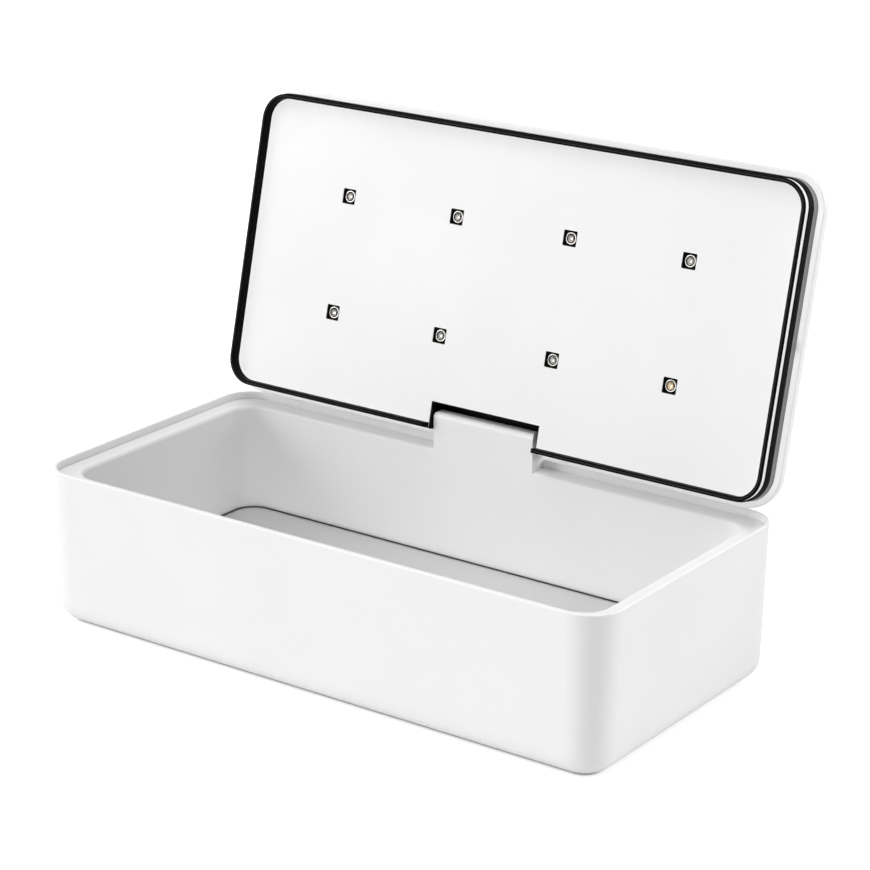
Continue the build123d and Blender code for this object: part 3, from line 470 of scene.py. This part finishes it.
def add_lid_pieces():
    # the bead's rubber is a lighter copy of the seal's black silicone: a painted highlight
    add_seal_bead(silicone("bead_painted_sheen", grey(0.012), grey(0.02), 0.45, 0.6, 0.1))
    pads = (
        plated("bronze_pad", (0.24, 0.215, 0.195), (0.4, 0.37, 0.34), 0.3, 0.45),
        plated("amber_pad", (0.5, 0.36, 0.22), (0.68, 0.53, 0.36), 0.25, 0.4),
    )
    chips = (
        plated("chip_grey", (0.36, 0.35, 0.35), (0.5, 0.49, 0.48), 0.2, 0.35),
        plated("chip_amber", (0.6, 0.45, 0.28), (0.78, 0.64, 0.46), 0.2, 0.35),
    )
    add_lamp_insides(
        pads,
        chips,
        plated("bond_gold", (0.85, 0.6, 0.25), (0.92, 0.7, 0.35), 0.15, 0.25),
        silicone("ring_epoxy", (0.006, 0.005, 0.004), (0.012, 0.01, 0.009), 0.35, 0.5, 0.1),
        plated("frame_silver", (0.66, 0.65, 0.63), (0.76, 0.75, 0.73), 0.3, 0.45),
    )


# ---------------------------------------------------------------- floor, world and lamps
FLOOR_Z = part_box("feet")[0].z
FLOOR_SIZE = 6.0
FLOOR_GLOW = 0.5  # only what the camera sees
CONTACT_REACH = 1.0 * MM


def add_floor():
    mesh = bpy.data.meshes.new("floor")
    half = FLOOR_SIZE / 2
    corners = [(-half, -half), (half, -half), (half, half), (-half, half)]
    mesh.from_pydata([(x, y, FLOOR_Z) for x, y in corners], [], [(0, 1, 2, 3)])
    floor = bpy.data.objects.new("floor", mesh)
    bpy.context.scene.collection.objects.link(floor)
    look = Shader("pale_floor")
    look.tint(look.noise(3, 2), grey(0.88), grey(0.9))
    look.roughen(look.noise(5, 2), 0.85, 0.95)
    look.set(Specular_IOR_Level=0.1)
    rays = look.add("ShaderNodeLightPath")
    glow = look.add("ShaderNodeEmission", Color=(1, 1, 1, 1))
    look.link(look.spread(rays.outputs["Is Camera Ray"], 0, FLOOR_GLOW, 0, 1), glow.inputs["Strength"])
    both = look.add("ShaderNodeAddShader")
    look.link(look.shader.outputs["BSDF"], both.inputs[0])
    look.link(glow.outputs["Emission"], both.inputs[1])
    # the contact shadow, dark where the case's rolled foot comes within a millimetre of the floor
    nearness = look.add("ShaderNodeAmbientOcclusion", Distance=CONTACT_REACH)
    shade = look.add("ShaderNodeBsdfDiffuse", Color=(0.01, 0.01, 0.01, 1))
    contact = look.add("ShaderNodeMixShader")
    look.link(look.spread(nearness.outputs["AO"], 0, 1, 0.15, 0.75), contact.inputs[0])
    look.link(shade.outputs["BSDF"], contact.inputs[1])
    look.link(both.outputs["Shader"], contact.inputs[2])
    look.link(contact.outputs["Shader"], look.tree.nodes["Material Output"].inputs["Surface"])
    mesh.materials.append(look.material)


WORLD_STRENGTH = 0.32
BACKDROP_STRENGTH = 1.0


def light_world():
    """A weak even light, which looks white to the camera and in the gloss and glass."""
    world = bpy.data.worlds.new("studio")
    bpy.context.scene.world = world
    world.use_nodes = True
    tree = world.node_tree
    back = tree.nodes["Background"]
    rays = tree.nodes.new("ShaderNodeLightPath")
    seen = rays.outputs["Is Camera Ray"]
    for kind in ("Is Glossy Ray", "Is Transmission Ray"):
        either = tree.nodes.new("ShaderNodeMath")
        either.operation = "MAXIMUM"
        tree.links.new(seen, either.inputs[0])
        tree.links.new(rays.outputs[kind], either.inputs[1])
        seen = either.outputs[0]
    strength = tree.nodes.new("ShaderNodeMapRange")
    strength.inputs["To Min"].default_value = WORLD_STRENGTH
    strength.inputs["To Max"].default_value = BACKDROP_STRENGTH
    tree.links.new(seen, strength.inputs["Value"])
    tree.links.new(strength.outputs["Result"], back.inputs["Strength"])
    back.inputs["Color"].default_value = (1, 1, 1, 1)


KEY_LAMP = "key_left_low"
# name, place, size, watts
STUDIO_LAMPS = (
    (KEY_LAMP, (-1.7, -1.4, 0.7), 1.4, 27.5),
    ("side_right_rear", (1.5, 1.5, 0.7), 1.2, 24.0),
    ("top", (0, -0.2, 2.0), 1.6, 18.5),
    ("front_top", (0, -1.4, 1.9), 1.2, 5.0),
)
AIM = Vector((0, 0.02, 0.06))


def add_lamps():
    for name, place, size, watts in STUDIO_LAMPS:
        data = bpy.data.lights.new(name, "AREA")
        data.size = size
        data.energy = watts
        lamp = bpy.data.objects.new(name, data)
        lamp.location = place
        lamp.rotation_euler = (AIM - Vector(place)).to_track_quat("-Z", "Y").to_euler()
        bpy.context.scene.collection.objects.link(lamp)
    # the key lights the shell's rim past the edge of the panel
    let_past = bpy.data.collections.new("let_past")
    let_past.objects.link(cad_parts["lid_panel"])
    let_past.collection_objects[0].light_linking.link_state = "EXCLUDE"
    bpy.data.objects[KEY_LAMP].light_linking.blocker_collection = let_past


add_camera()
dress_nodes()
add_lid_pieces()
add_floor()
light_world()
add_lamps()
bpy.context.scene.view_settings.view_transform = "Standard"
